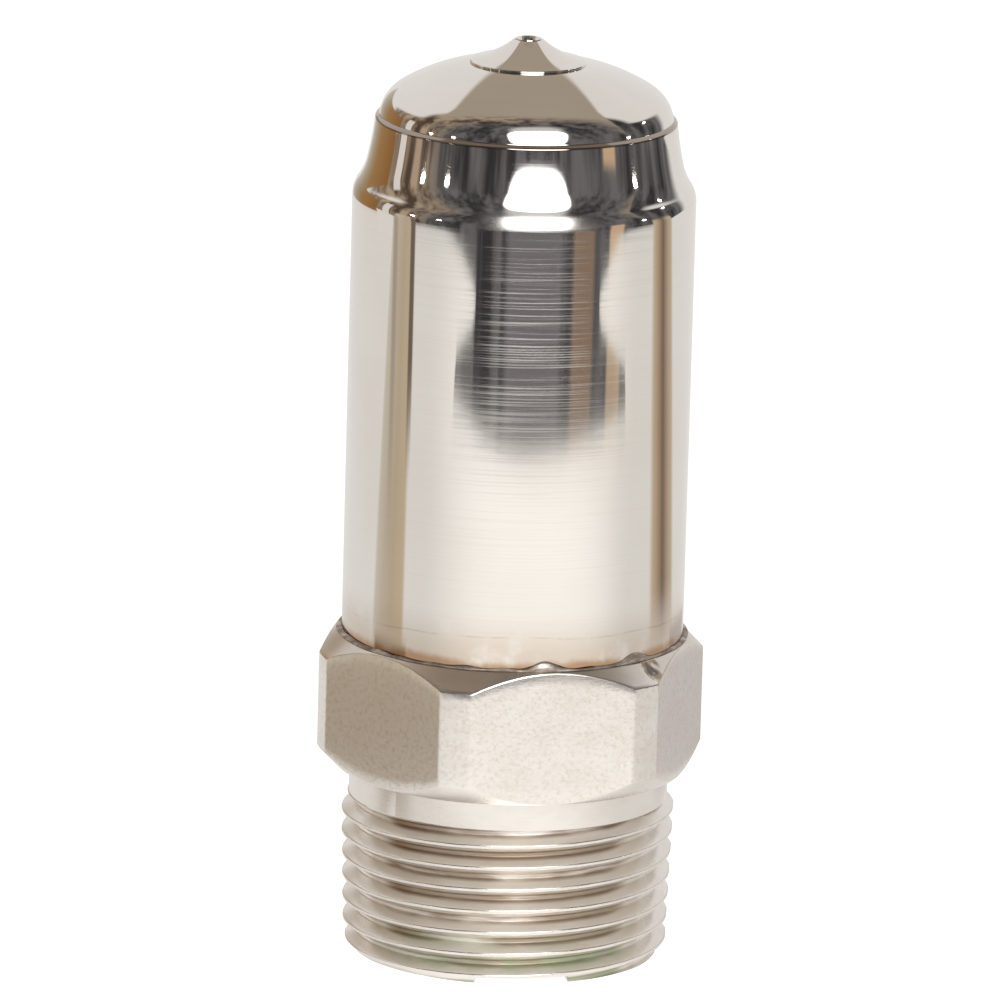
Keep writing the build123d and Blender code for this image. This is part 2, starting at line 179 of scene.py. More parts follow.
def line(start, stop, count):
    """Points along a straight line, both ends included."""
    share = np.linspace(0, 1, count)[:, None]
    return np.array(start) * (1 - share) + np.array(stop) * share


def bend(start, control, stop, count):
    """Points along a quadratic curve that leaves `start` towards `control`."""
    share = np.linspace(0, 1, count)[:, None]
    return (1 - share) ** 2 * start + 2 * share * (1 - share) * control + share ** 2 * stop


def towards(angle):
    """Unit vector (r, z) at an angle in radians from +r towards +z."""
    return np.array([math.cos(angle), math.sin(angle)])


def softened(corners, size):
    """Closed outline with each corner rounded off over `size` on both sides."""
    longest = 0.4        # share of a side that one corner's rounding may take
    soft = []
    for i, corner in enumerate(corners):
        corner = np.array(corner, float)
        before = np.array(corners[i - 1], float) - corner
        after = np.array(corners[(i + 1) % len(corners)], float) - corner
        start = corner + before * min(size / np.linalg.norm(before), longest)
        stop = corner + after * min(size / np.linalg.norm(after), longest)
        soft += [start, 0.25 * start + 0.5 * corner + 0.25 * stop, stop]
    return soft


def along_normals(outline, distance):
    """The outline moved by `distance` to its left side."""
    way = np.gradient(outline, axis=0)
    way /= np.linalg.norm(way, axis=1)[:, None]
    return outline + distance * np.stack([-way[:, 1], way[:, 0]], -1)


def turn(count):
    """Angles of the columns of a mesh about the axis."""
    return np.linspace(0, 2 * math.pi, count, endpoint=False)


def facing(bearing):
    """Angle about the axis, in radians, of a bearing."""
    return math.radians(CAMERA_AZIMUTH - 90 + bearing)


def ripple(angles, seed, terms, lowest=2):
    """Smooth closed random curve over the angles, between about -1 and 1."""
    draw = np.random.default_rng(seed)
    total = np.zeros_like(angles)
    for k in range(lowest, lowest + terms):
        total += draw.uniform(-1, 1) * np.sin(k * angles + draw.uniform(0, 2 * math.pi))
    return total / math.sqrt(terms)


def hump(angles, bearing, half_width):
    """Smooth hump of height 1 at a bearing, gone beyond its half width in degrees."""
    gap = (np.degrees(angles) - math.degrees(facing(bearing)) + 180) % 360 - 180
    return np.clip(1 - (gap / half_width) ** 2, 0, 1) ** 2


def as_rows(outline, angles):
    """Rows of radii and rows of heights, one value per angle, from (radius, height) pairs.
    Each of a pair is a number, or has a value per angle already."""
    rows = [[np.broadcast_to(value, angles.shape) for value in pair] for pair in outline]
    return np.array(rows).transpose(1, 0, 2)


# ---------------------------------------------------------------- meshes

def new_mesh(name, points, faces, material, attributes):
    """Mesh in metres from points in millimetres, with a value per point for each attribute."""
    mesh = bpy.data.meshes.new(name)
    mesh.from_pydata((np.asarray(points, float) * MM).tolist(), [], faces)
    for key, values in attributes.items():
        added = mesh.attributes.new(key, "FLOAT", "POINT")
        added.data.foreach_set("value", np.asarray(values, np.float32))
    mesh.materials.append(material)
    return mesh


def add_object(name, data):
    """Object in the scene for a mesh or a camera."""
    made = bpy.data.objects.new(name, data)
    bpy.context.scene.collection.objects.link(made)
    return made


def leave_sharp(mesh, lowest):
    """Sharp corners on the edges above a height in millimetres, smooth ones below."""
    mesh.set_sharp_from_angle(angle=math.radians(SHARP_TURN))
    places = np.empty(3 * len(mesh.vertices), np.float32)
    mesh.vertices.foreach_get("co", places)
    ends = np.empty(2 * len(mesh.edges), np.int32)
    mesh.edges.foreach_get("vertices", ends)
    above = (places[2::3][ends].reshape(-1, 2) > lowest * MM).all(axis=1)
    sharp = mesh.attributes["sharp_edge"].data
    turned = np.empty(len(mesh.edges), bool)
    sharp.foreach_get("value", turned)
    sharp.foreach_set("value", turned & above)


def make_piece(name, rows, angles, material, body, replaced, attributes=None, crease_from=None):
    """Closed piece about the axis that rides on a body and replaces a CAD node. `rows` holds
    its radii and its heights, and the last row of points joins the first. Above the height
    `crease_from` its corners are left sharp."""
    radius, height = rows
    points = np.stack([radius * np.cos(angles), radius * np.sin(angles), height], -1).reshape(-1, 3)
    here = np.arange(radius.size).reshape(radius.shape)
    beside = np.roll(here, -1, axis=1)
    above = np.roll(here, -1, axis=0)
    faces = np.stack([here, beside, np.roll(beside, -1, axis=0), above], -1).reshape(-1, 4)
    mesh = new_mesh(name, points, faces.tolist(), material, attributes or {})
    work = bmesh.new()
    work.from_mesh(mesh)
    bmesh.ops.remove_doubles(work, verts=work.verts, dist=1e-7)
    bmesh.ops.dissolve_degenerate(work, edges=work.edges, dist=1e-8)
    work.to_mesh(mesh)
    work.free()
    mesh.shade_smooth()
    if crease_from is not None:
        leave_sharp(mesh, crease_from)
    piece = add_object(name, mesh)
    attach(piece, body)
    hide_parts(replaced)


# ---------------------------------------------------------------- shader graphs

def node(tree, kind, inputs=None, **settings):
    """Shader node with its inputs set or linked, by name or number."""
    made = tree.nodes.new("ShaderNode" + kind)
    for key, value in settings.items():
        setattr(made, key, value)
    for key, value in (inputs or {}).items():
        socket = made.inputs[key]
        if isinstance(value, bpy.types.NodeSocket):
            tree.links.new(value, socket)
        else:
            socket.default_value = value
    return made


def maths(tree, operation, *values):
    """Result of a Math node."""
    return node(tree, "Math", dict(enumerate(values)), operation=operation).outputs[0]


def product(tree, first, *others):
    """Product of two or more values."""
    for other in others:
        first = maths(tree, "MULTIPLY", first, other)
    return first


def distance_from(tree, value, middle):
    """How far a value is from another, either way."""
    return maths(tree, "ABSOLUTE", maths(tree, "SUBTRACT", value, middle))


def step(tree, value, low, high, start=0.0, stop=1.0):
    """Smooth step of a value from `low` to `high`."""
    made = node(
        tree, "MapRange",
        {"Value": value, "From Min": low, "From Max": high, "To Min": start, "To Max": stop},
        interpolation_type="SMOOTHSTEP",
    )
    return made.outputs["Result"]


def mix(tree, share, first, second):
    """Colour between two colours."""
    made = node(tree, "Mix", data_type="RGBA")
    pairs = {"Factor": share, "A": first, "B": second}
    for socket in made.inputs:
        if socket.enabled and socket.name in pairs:
            value = pairs[socket.name]
            if isinstance(value, bpy.types.NodeSocket):
                tree.links.new(value, socket)
            elif socket.type == "RGBA":
                socket.default_value = (*value, 1)
            else:
                socket.default_value = value
    return next(s for s in made.outputs if s.enabled)


def noise(tree, place, scale, detail=2.0, rough=0.5):
    """Noise between about 0 and 1 over coordinates stretched by `scale`."""
    stretched = node(tree, "Mapping", {"Vector": place, "Scale": scale}).outputs[0]
    made = node(
        tree, "TexNoise",
        {"Vector": stretched, "Scale": 1.0, "Detail": detail, "Roughness": rough},
    )
    return made.outputs["Fac"]


def attribute(tree, name):
    """Value of a mesh attribute."""
    return node(tree, "Attribute", attribute_name=name).outputs["Fac"]


def height_of(tree, place):
    """Height above the rim in millimetres."""
    z = node(tree, "SeparateXYZ", {0: place}).outputs["Z"]
    return maths(tree, "MULTIPLY", z, 1 / MM)


def side_share(tree, place, bearing, low, high):
    """Smooth mask over one side of the object: a step of the cosine of the angle between a
    place, seen from the axis, and a bearing."""
    level = node(tree, "VectorMath", {0: place, 1: (1, 1, 0)}, operation="MULTIPLY").outputs[0]
    way = node(tree, "VectorMath", {0: level}, operation="NORMALIZE").outputs[0]
    middle = (math.cos(facing(bearing)), math.sin(facing(bearing)), 0)
    cosine = node(tree, "VectorMath", {0: way, 1: middle}, operation="DOT_PRODUCT").outputs["Value"]
    return step(tree, cosine, low, high)


def empty_tree(owner):
    """Node tree of a material or a world, with nothing in it."""
    owner.use_nodes = True
    owner.node_tree.nodes.clear()
    return owner.node_tree


def new_metal(name):
    """Material with a bare metal shader: (material, tree, shader, object coordinates)."""
    material = bpy.data.materials.new(name)
    tree = empty_tree(material)
    shader = node(tree, "BsdfPrincipled", {"Metallic": 1.0})
    node(tree, "OutputMaterial", {"Surface": shader.outputs[0]})
    place = node(tree, "TexCoord").outputs["Object"]
    return material, tree, shader, place


def finish_metal(tree, shader, colour, roughness, layers):
    """Colour and roughness into the shader, and a chain of bumps from (height, distance in
    metres) pairs."""
    normal = None
    for height, distance in layers:
        inputs = {"Height": height, "Distance": distance, "Strength": 1.0}
        if normal is not None:
            inputs["Normal"] = normal
        normal = node(tree, "Bump", inputs).outputs[0]
    tree.links.new(colour, shader.inputs["Base Color"])
    tree.links.new(roughness, shader.inputs["Roughness"])
    tree.links.new(normal, shader.inputs["Normal"])


# ---------------------------------------------------------------- metals

def heat_tint(tree, colour, height, cloud, spread):
    """Brown haze, burnt edge and faint tide line that soldering left low on the shell."""
    haze = (0.60, 0.50, 0.40)
    burn = (0.42, 0.24, 0.13)
    tide = (0.50, 0.38, 0.30)
    hazy = product(tree, step(tree, height, 31.5, 27.0, 0.0, 0.75), step(tree, spread, 0.2, 0.5))
    colour = mix(tree, hazy, colour, haze)
    burnt_edge = maths(tree, "MULTIPLY_ADD", spread, 1.5, 26.3)
    below = maths(tree, "SUBTRACT", burnt_edge, height)
    colour = mix(tree, step(tree, below, -0.5, 0.25, 0.0, 0.85), colour, burn)
    tide_level = maths(tree, "MULTIPLY_ADD", cloud, 1.6, 28.2)
    on_tide = step(tree, distance_from(tree, height, tide_level), 0.14, 0.0)
    broken = step(tree, spread, 0.42, 0.6, 0.0, 0.4)
    return mix(tree, product(tree, on_tide, broken), colour, tide)


def polished_nickel():
    """Mirror nickel with fine scratches round it, heat tint over the solder joint, and painted shade along
    the crease under the dome.
    """
    material, tree, shader, place = new_metal("polished_nickel")
    clear = (0.83, 0.80, 0.755)
    clouded = (0.80, 0.765, 0.71)
    scratched = (0.60, 0.56, 0.52)
    crease_painted_shade = (0.26, 0.20, 0.16)
    height = height_of(tree, place)
    cloud = noise(tree, place, (90, 90, 70), detail=3)
    streak = noise(tree, place, (25, 25, 2600), detail=2)
    scratch = noise(tree, place, (60, 60, 9500), detail=1)
    spread = noise(tree, place, (260, 260, 260), detail=4, rough=0.6)

    colour = mix(tree, step(tree, cloud, 0.35, 0.7), clear, clouded)
    colour = mix(tree, step(tree, scratch, 0.45, 0.7, 0.0, 0.05), colour, scratched)
    colour = heat_tint(tree, colour, height, cloud, spread)
    # painted shade: the crease between the neck and the dome is painted a dark brown-grey
    crease = step(tree, distance_from(tree, height, NECK_TOP), 0.24, 0.12, 0.0, 0.8)
    colour = mix(tree, crease, colour, crease_painted_shade)

    # a patch of scratches rubbed by hands in front, and the worn edge of the shoulder
    rubbed = product(
        tree, side_share(tree, place, 6, 0.93, 0.985),
        step(tree, height, 44.0, 52.0), step(tree, height, 63.5, 62.0),
    )
    worn = product(
        tree, step(tree, height, 62.4, 62.9), step(tree, height, 64.0, 63.5, 0.0, 0.24),
        side_share(tree, place, 5, 0.90, 0.98),
    )
    lines = step(tree, scratch, 0.45, 0.72)
    rough = maths(tree, "MULTIPLY_ADD", lines, 0.02, 0.045)
    rough = maths(tree, "MULTIPLY_ADD", product(tree, lines, rubbed), 0.12, rough)
    rough = maths(tree, "ADD", rough, worn)
    finish_metal(tree, shader, colour, rough, [(streak, 0.3e-6), (spread, 1.0e-6)])

    tangent = node(tree, "Tangent", direction_type="RADIAL", axis="Z").outputs[0]
    tree.links.new(tangent, shader.inputs["Tangent"])
    shader.inputs["Anisotropic"].default_value = 0.9
    shader.inputs["Anisotropic Rotation"].default_value = 0.25
    return material


def groove_shade_and_dirt(tree, place, colour, groove, cloud, height):
    """Painted shade, brown that is partly dirt and partly painted shade, and green stain in the
    thread's grooves: the painted shade and the brown are stronger at the sides, and the green near the rim."""
    shade = (0.62, 0.54, 0.45)
    brown = (0.27, 0.17, 0.10)
    green = (0.42, 0.52, 0.36)
    patch = noise(tree, place, (120, 120, 900), detail=3)
    side = side_share(tree, place, 8, 0.92, 0.45)
    # painted shade: the grooves are painted a darker tan, most of it at the sides
    shaded = product(tree, step(tree, groove, 0.02, 0.3), maths(tree, "MULTIPLY_ADD", side, 0.50, 0.04))
    colour = mix(tree, shaded, colour, shade)
    # brown at the groove roots, in patches: partly dirt, partly painted shade under the crests, stronger at
    # the sides
    brown_dirt_and_shade = product(
        tree, step(tree, groove, 0.50, 0.92), step(tree, patch, 0.36, 0.54),
        maths(tree, "MULTIPLY_ADD", side, 0.25, 0.75),
    )
    colour = mix(tree, brown_dirt_and_shade, colour, brown)
    near_rim = step(tree, height, 5.0, 1.5)
    stained = product(
        tree, step(tree, groove, 0.05, 0.8), step(tree, cloud, 0.36, 0.6),
        maths(tree, "MULTIPLY_ADD", near_rim, 0.50, 0.05),
    )
    return mix(tree, stained, colour, green)


def machined_nickel():
    """Satin plate over turned and milled brass, with dirt and painted shade in the grooves on the front, and
    painted shade on the upper chamfers.
    """
    material, tree, shader, place = new_metal("machined_nickel")
    clear = (0.83, 0.795, 0.75)
    clouded = (0.79, 0.745, 0.685)
    pitted = (0.60, 0.55, 0.47)
    chamfer_shade_brown = (0.44, 0.35, 0.27)
    flat = attribute(tree, "flat")
    height = height_of(tree, place)
    grain = noise(tree, place, (2600, 2600, 2600), detail=3, rough=0.6)
    cloud = noise(tree, place, (210, 210, 400), detail=4, rough=0.6)
    turning = noise(tree, place, (60, 60, 7000), detail=2)
    front = side_share(tree, place, 0, 0.35, 0.8)
    groove = product(tree, attribute(tree, "groove"), front)

    colour = mix(tree, step(tree, cloud, 0.35, 0.7), clear, clouded)
    colour = groove_shade_and_dirt(tree, place, colour, groove, cloud, height)
    speckle = product(tree, step(tree, grain, 0.45, 0.72), flat, 0.42)
    colour = mix(tree, speckle, colour, pitted)
    # painted shade: above 24.4 mm, off the flats, the upward-facing chamfers are painted darker and browner
    chamfer_painted_shade = product(tree, step(tree, height, 24.4, 26.0, 0.0, 0.32), maths(tree, "SUBTRACT", 1.0, flat))
    colour = mix(tree, chamfer_painted_shade, colour, chamfer_shade_brown)

    rough = maths(tree, "MULTIPLY_ADD", cloud, 0.16, 0.18)
    rough = maths(tree, "MULTIPLY_ADD", step(tree, groove, 0.02, 0.3), 0.22, rough)
    pits = product(tree, grain, flat)
    finish_metal(tree, shader, colour, rough, [(turning, 2.2e-6), (pits, 13e-6), (cloud, 6e-6)])
    return material


def solder_skin():
    """Dull grey solder with a rough, slightly crystalline skin."""
    material, tree, shader, place = new_metal("solder")
    bright = (0.50, 0.45, 0.40)
    dull = (0.26, 0.20, 0.16)
    cloud = noise(tree, place, (700, 700, 900), detail=4, rough=0.65)
    grain = noise(tree, place, (3000, 3000, 3000), detail=2)
    colour = mix(tree, step(tree, cloud, 0.35, 0.68), bright, dull)
    rough = step(tree, cloud, 0.3, 0.7, 0.36, 0.6)
    finish_metal(tree, shader, colour, rough, [(cloud, 40e-6), (grain, 6e-6)])
    return material


def worked_metal(name, bright, dull, rough, lines):
    """Turned or stamped metal: clouded tarnish, and fine lines left by the tool."""
    material, tree, shader, place = new_metal(name)
    spotted = tuple(0.6 * c for c in dull)
    cloud = noise(tree, place, (330, 330, 330), detail=4, rough=0.6)
    spots = noise(tree, place, (1800, 1800, 1800), detail=2)
    tool = noise(tree, place, (150, 150, lines), detail=2)
    colour = mix(tree, step(tree, cloud, 0.35, 0.7), bright, dull)
    colour = mix(tree, step(tree, spots, 0.62, 0.78, 0.0, 0.4), colour, spotted)
    roughness = step(tree, cloud, 0.3, 0.75, rough, rough + 0.18)
    finish_metal(tree, shader, colour, roughness, [(tool, 2.5e-6), (cloud, 8e-6)])
    return material


# ---------------------------------------------------------------- pieces

def shell_outline():
    """Outer half outline of the shell, from its lower edge up to the port's hole."""
    neck = math.radians(NECK_ANGLE)
    steepest = neck + math.radians(NECK_HOLLOW)
    edge = math.radians(DOME_EDGE_ANGLE)

    # shoulder, and the fillet that leads into the neck
    shoulder_centre = np.array([SHELL_R - SHOULDER_RADIUS, SHOULDER_Z])
    fillet_centre = shoulder_centre + (SHOULDER_RADIUS + NECK_FILLET) * towards(math.radians(SHOULDER_ANGLE))
    cone_start = fillet_centre - NECK_FILLET * towards(neck)

    # neck, hollowed from the straight cone
    neck_r = cone_start[0] - (NECK_TOP - cone_start[1]) * math.tan(neck)
    neck_start = fillet_centre - NECK_FILLET * towards(steepest)
    neck_stop = np.array([neck_r, NECK_TOP - LEDGE_RISE])
    half = np.linalg.norm(neck_stop - neck_start) / 2
    neck_middle = neck_start + half * np.array([-math.sin(steepest), math.cos(steepest)])

    # dome: a tight edge, then a wide crown up to the port's land
    dome_start = np.array([neck_r - LEDGE_WIDTH, NECK_TOP + LEDGE_RISE])
    dome_centre = dome_start - DOME_EDGE_RADIUS * towards(math.radians(DOME_EDGE_START))
    inward = -towards(edge)
    crown = dome_centre - DOME_EDGE_RADIUS * inward
    chord = np.array([LAND_R, LAND_Z]) - crown
    crown_radius = chord @ chord / (2 * chord @ inward)
    crown_centre = crown + crown_radius * inward
    land_way = np.array([LAND_R, LAND_Z]) - crown_centre
    land_angle = math.degrees(math.atan2(land_way[1], land_way[0]))

    dense_top = HEX_TOP + 3    # up to here the rows are dense, for the ragged edge
    return np.concatenate([
        line((SHELL_R, HEX_TOP), (SHELL_R, dense_top), 24)[:-1],
        line((SHELL_R, dense_top), (SHELL_R, SHOULDER_Z), 70)[:-1],
        arc(shoulder_centre, SHOULDER_RADIUS, 0, SHOULDER_ANGLE, 22)[:-1],
        arc(fillet_centre, NECK_FILLET, 180 + SHOULDER_ANGLE, 180 + NECK_ANGLE + NECK_HOLLOW, 24)[:-1],
        bend(neck_start, neck_middle, neck_stop, 30)[:-1],
        bend(neck_stop, np.array([neck_r, NECK_TOP]), dome_start, 9)[:-1],
        arc(dome_centre, DOME_EDGE_RADIUS, DOME_EDGE_START, DOME_EDGE_ANGLE, 30)[:-1],
        arc(crown_centre, crown_radius, DOME_EDGE_ANGLE, land_angle, 40)[:-1],
        line((LAND_R, LAND_Z), (PORT_HOLE_R, LAND_Z), 6),
    ])


def build_shell(material):
    """Drawn shell: polished wall a little out of round, with a ragged soldered edge."""
    angles = turn(480)
    outer = shell_outline()
    inner = along_normals(outer, SHELL_WALL)
    inner[-1] = (PORT_HOLE_R, LAND_Z - SHELL_WALL)
    inner[0] = (SHELL_R - SHELL_WALL, HEX_TOP)
    radius, height = as_rows([*outer, *inner[::-1]], angles)
    sway = ripple(angles, 3, 4)[None] * np.sin(height / 5.3)
    sway = sway + ripple(angles, 4, 5)[None] * np.sin(height / 3.1 + 1)
    radius = radius - WAVE * (1 + np.clip(sway / 2, -1, 1)) / 2
    ragged = np.clip(0.16 + 0.2 * ripple(angles, 5, 26, lowest=9), 0, RAGGED_MOST)
    ragged = ragged + 0.55 * hump(angles, 11, 9) + 0.35 * hump(angles, 47, 7)
    low = np.clip(1 - (height - HEX_TOP) / RAGGED_REACH, 0, 1)
    height = height + ragged[None] * low ** 2
    make_piece("shell", (radius, height), angles, material, "vent_body", "outer_shell")


def groove_depth(angles, height, start, depth):
    """Depth of a right-hand V thread at each angle and height."""
    turns = height / PITCH - (np.degrees(angles) - start) / 360 + 0.5
    away = np.abs(turns - np.round(turns)) * PITCH
    mouth = (PITCH - CREST_FLAT) / 2
    return np.clip((mouth - away) / FLANK_SLOPE, 0, depth)


def outside_thread(angles):
    """Rows of radii and heights up the worn male thread, and the depth of its groove."""
    height = np.linspace(0, THREAD_TOP, THREAD_ROWS)[:, None] * np.ones_like(angles)
    crest = CREST_R_AT_RIM + height * TAPER
    rubbed = 0.018 * (1 + ripple(angles, 11, 30, lowest=6))
    marks = 0.012 * np.sin(height * 5 + 7 * angles)
    worn = np.clip(rubbed + marks, 0, DEEPEST_WEAR)
    cut = groove_depth(angles, height, THREAD_START, THREAD_DEPTH)
    chamfers = np.minimum(RIM_R + height, COLLAR_R + THREAD_TOP - height)
    radius = np.minimum(crest - worn - cut, chamfers)
    return radius, height, cut


def inside_thread(angles):
    """Rows of radii and heights down the female thread, from the relief to the mouth."""
    height = np.linspace(TAPPED_TOP, 0, TAP_ROWS)[:, None] * np.ones_like(angles)
    radius = TAP_R + groove_depth(angles, height, TAP_START, TAP_DEPTH)
    return np.maximum(radius, MOUTH_R - 2 * height), height


def hexagon(angles):
    """Hexagon in three runs of (radius, height) pairs: its lower edge, its flats, and its
    dented upper chamfer. A flat faces -Y."""
    from_flat = np.degrees(angles) % 60 - 30
    radius = np.minimum(HEX_FLAT / np.cos(np.radians(from_flat)), HEX_CORNER_R)
    rise = radius - HEX_CHAMFER_R
    bottom = HEX_BOTTOM + rise
    top = HEX_TOP - rise
    edge = np.minimum(EDGE_BREAK, rise * 0.4)
    lower = [(radius - edge, bottom - edge), (radius - edge / 4, bottom + edge / 4)]
    flats = [(radius, bottom + edge * 1.2)]
    for share in np.linspace(0, 1, 12)[1:-1]:
        flats.append((radius, bottom * (1 - share) + top * share))
    flats.append((radius, top - edge * 1.2))
    upper = [(radius - edge / 4, top - edge / 4)]
    dent = DENT_DEPTH * hump(angles, DENT_BEARING, DENT_HALF_WIDTH) * np.minimum(rise, 1)
    for share in np.linspace(0, 1, 9)[:-1]:
        crumple = dent * math.sin(math.pi * share) * (1 + 0.5 * np.sin(60 * angles + 5 * share))
        inward = edge + (rise - edge) * share
        upper.append((radius - inward - crumple, top + inward - crumple))
    return lower, flats, upper


def build_base(material):
    """Machined body: both threads, collar, chamfered hexagon, spigot and float chamber."""
    angles = turn(720)
    thread_r, thread_z, cut = outside_thread(angles)
    lower, flats, upper = hexagon(angles)
    collar = [
        (COLLAR_R, THREAD_TOP + 0.15), (COLLAR_R, HEX_BOTTOM - 0.1),
        (COLLAR_R + 0.1, HEX_BOTTOM), (HEX_CHAMFER_R - 0.04, HEX_BOTTOM),
        (HEX_CHAMFER_R + TURNED_BREAK, HEX_BOTTOM + TURNED_BREAK),
    ]
    spigot = [
        (HEX_CHAMFER_R + TURNED_BREAK, HEX_TOP - TURNED_BREAK), (HEX_CHAMFER_R - 0.04, HEX_TOP),
        (SPIGOT_R + 0.05, HEX_TOP), (SPIGOT_R, HEX_TOP + 0.05),
        *softened([(SPIGOT_R, SPIGOT_TOP), (CHAMBER_R, SPIGOT_TOP)], 0.2),
    ]
    chamber = [
        (CHAMBER_R, GROOVE_TOP + 0.1), (CHAMBER_R + 0.1, GROOVE_TOP), (GROOVE_R, GROOVE_TOP),
        (GROOVE_R, GROOVE_BOTTOM), (CHAMBER_R + 0.1, GROOVE_BOTTOM),
        (CHAMBER_R, GROOVE_BOTTOM - 0.1), (CHAMBER_R, CHAMBER_FLOOR + 0.1),
        (CHAMBER_R - 0.1, CHAMBER_FLOOR), (RELIEF_R + 0.15, CHAMBER_FLOOR),
        (RELIEF_R, CHAMBER_FLOOR - 0.15), (RELIEF_R, TAPPED_TOP + 0.1),
        (RELIEF_R - 0.05, TAPPED_TOP + 0.02),
    ]
    rim = [(MOUTH_R + 0.1, 0), (np.minimum(RIM_R, thread_r[0]) - 0.1, 0)]
    radius, height = np.concatenate([
        (thread_r, thread_z),
        as_rows(collar + lower + flats + upper + spigot + chamber, angles),
        inside_thread(angles),
        as_rows(rim, angles),
    ], axis=1)

    across = radius * np.sin(angles - math.radians(NOTCH_ANGLE))
    ahead = np.cos(angles - math.radians(NOTCH_ANGLE)) > 0
    notched = (np.abs(across) < NOTCH_HALF_WIDTH) & ahead[None]
    height = np.where(notched, np.maximum(height, NOTCH_DEPTH), height)

    groove = np.zeros_like(radius)
    groove[:THREAD_ROWS] = cut / THREAD_DEPTH
    flat = np.zeros_like(radius)
    first_flat = THREAD_ROWS + len(collar + lower)
    flat[first_flat:first_flat + len(flats)] = 1.0
    make_piece(
        "base", (radius, height), angles, material, "vent_body", "hex_base",
        {"groove": groove.ravel(), "flat": flat.ravel()}, crease_from=THREAD_TOP,
    )


def build_solder(material):
    """Solder run round the joint: a thin lip, and an uneven fillet with its drips."""
    angles = turn(540)
    lip = np.clip(LIP_R + 0.06 * ripple(angles, 21, 18, lowest=3), LIP_R_LEAST, LIP_R_MOST)
    lip = lip + LIP_AT_SIDES * np.abs(np.cos(angles)) ** 6
    drip = sum(size * hump(angles, bearing, half_width) for bearing, half_width, size in DRIPS)
    climb = 0.12 + 0.10 * ripple(angles, 22, 30, lowest=5) + 0.75 * drip
    climb = np.clip(climb, CLIMB_LEAST, CLIMB_MOST)
    bulge = 0.02 + 0.02 * ripple(angles, 23, 24, lowest=5) + 0.16 * drip
    inner = SHELL_R + SOLDER_GAP
    outline = [
        (inner, HEX_TOP),
        (lip - 0.05, HEX_TOP),
        (lip, HEX_TOP + 0.05),
        (lip - 0.04, HEX_TOP + 0.11),
        (inner + 0.12 + bulge, HEX_TOP + 0.14 + 0.15 * climb),
        (inner + 0.05 + bulge, HEX_TOP + 0.12 + 0.45 * climb),
        (inner + 0.03 + 0.6 * bulge, HEX_TOP + 0.10 + 0.75 * climb),
        (inner + 0.015, HEX_TOP + 0.10 + climb),
        (inner, HEX_TOP + 0.10 + climb),
    ]
    rows = as_rows(outline, angles)
    make_piece("solder_run", rows, angles, material, "vent_body", "joint_solder")


def build_port(material):
    """Port bush: pointed hat with a thin rim, barrel, and the passage to the tip."""
    angles = turn(256)
    rim_top = LAND_Z + HAT_RIM
    start = np.array([HAT_R, rim_top])
    stop = np.array([TIP_R, TIP_Z])
    control = (start + stop) / 2 - np.array([HAT_HOLLOW, 2 * HAT_HOLLOW])
    outline = [
        *softened([(SEAT_R, BARREL_BOTTOM), (BARREL_R, BARREL_BOTTOM)], 0.1),
        (BARREL_R, LAND_Z), (HAT_R - 0.06, LAND_Z), (HAT_R, LAND_Z + 0.06), (HAT_R, rim_top - 0.05),
        *bend(start, control, stop, 26)[1:-1],
        *softened([(TIP_R - 0.02, TIP_Z), (ORIFICE_R + 0.28, TIP_Z), (ORIFICE_R, TIP_Z - 0.34)], 0.05),
        (ORIFICE_R, SEAT_TOP + 1), (ORIFICE_R, SEAT_TOP), (SEAT_R, SEAT_TOP),
    ]
    rows = as_rows(outline, angles)
    make_piece("port_hat", rows, angles, material, "vent_body", "vent_port")


# ---------------------------------------------------------------- studio

def glow(name, colour, strength=1.0, falloff=False, soft=0.0, stripes=()):
    """Light for the studio. `falloff` dims it away from the window in front of the object,
    `soft` fades its edges, and `stripes` are (share across, colour) pairs."""
    material = bpy.data.materials.new(name)
    tree = empty_tree(material)
    light = node(tree, "Emission", {"Color": (*colour, 1), "Strength": strength})
    if falloff:
        place = node(tree, "TexCoord").outputs["Object"]
        share = side_share(tree, place, WINDOW_BEARING, 0.3, 1.0)
        dimmed = maths(tree, "MULTIPLY_ADD", share, 0.3 * strength, 0.7 * strength)
        tree.links.new(dimmed, light.inputs["Strength"])
    if stripes:
        ramp = node(tree, "ValToRGB", {"Fac": attribute(tree, "across")})
        tones = ramp.color_ramp.elements
        tones.remove(tones[1])
        tones[0].position = stripes[0][0]
        tones[0].color = (*stripes[0][1], 1)
        for position, tone in stripes[1:]:
            tones.new(position).color = (*tone, 1)
        tree.links.new(ramp.outputs["Color"], light.inputs["Color"])
    shown = light.outputs[0]
    if soft:
        gaps = [distance_from(tree, attribute(tree, way), 0.5) for way in ("across", "along")]
        solid = product(tree, *(step(tree, gap, 0.5, 0.5 - soft) for gap in gaps))
        clear = node(tree, "BsdfTransparent").outputs[0]
        shown = node(tree, "MixShader", {0: solid, 1: clear, 2: shown}).outputs[0]
    node(tree, "OutputMaterial", {"Surface": shown})
    return material


def stage_mesh(name, points, faces, material, seen=False, attributes=None):
    """Part of the studio, in millimetres: seen by the camera, or else only in reflections."""
    card = add_object(name, new_mesh(name, points, faces, material, attributes or {}))
    card.visible_camera = seen
    card.visible_glossy = not seen
    card.visible_diffuse = False
    card.visible_shadow = False


def wall(name, span, distance, bottom, top, material, top_span=None, steps=8):
    """Curved card between two bearings, or two others at its top edge. `bottom` and `top` are
    heights, or functions of the bearing."""
    points, faces, across, along = [], [], [], []
    for i in range(steps + 1):
        for share, (height, ends) in enumerate(((bottom, span), (top, top_span or span))):
            bearing = ends[0] + (ends[1] - ends[0]) * i / steps
            x = distance * math.cos(facing(bearing))
            y = distance * math.sin(facing(bearing))
            points.append((x, y, height(bearing) if callable(height) else height))
            across.append(i / steps)
            along.append(share)
        if i:
            faces.append((2 * i - 2, 2 * i, 2 * i + 1, 2 * i - 1))
    stage_mesh(name, points, faces, material, attributes={"across": across, "along": along})


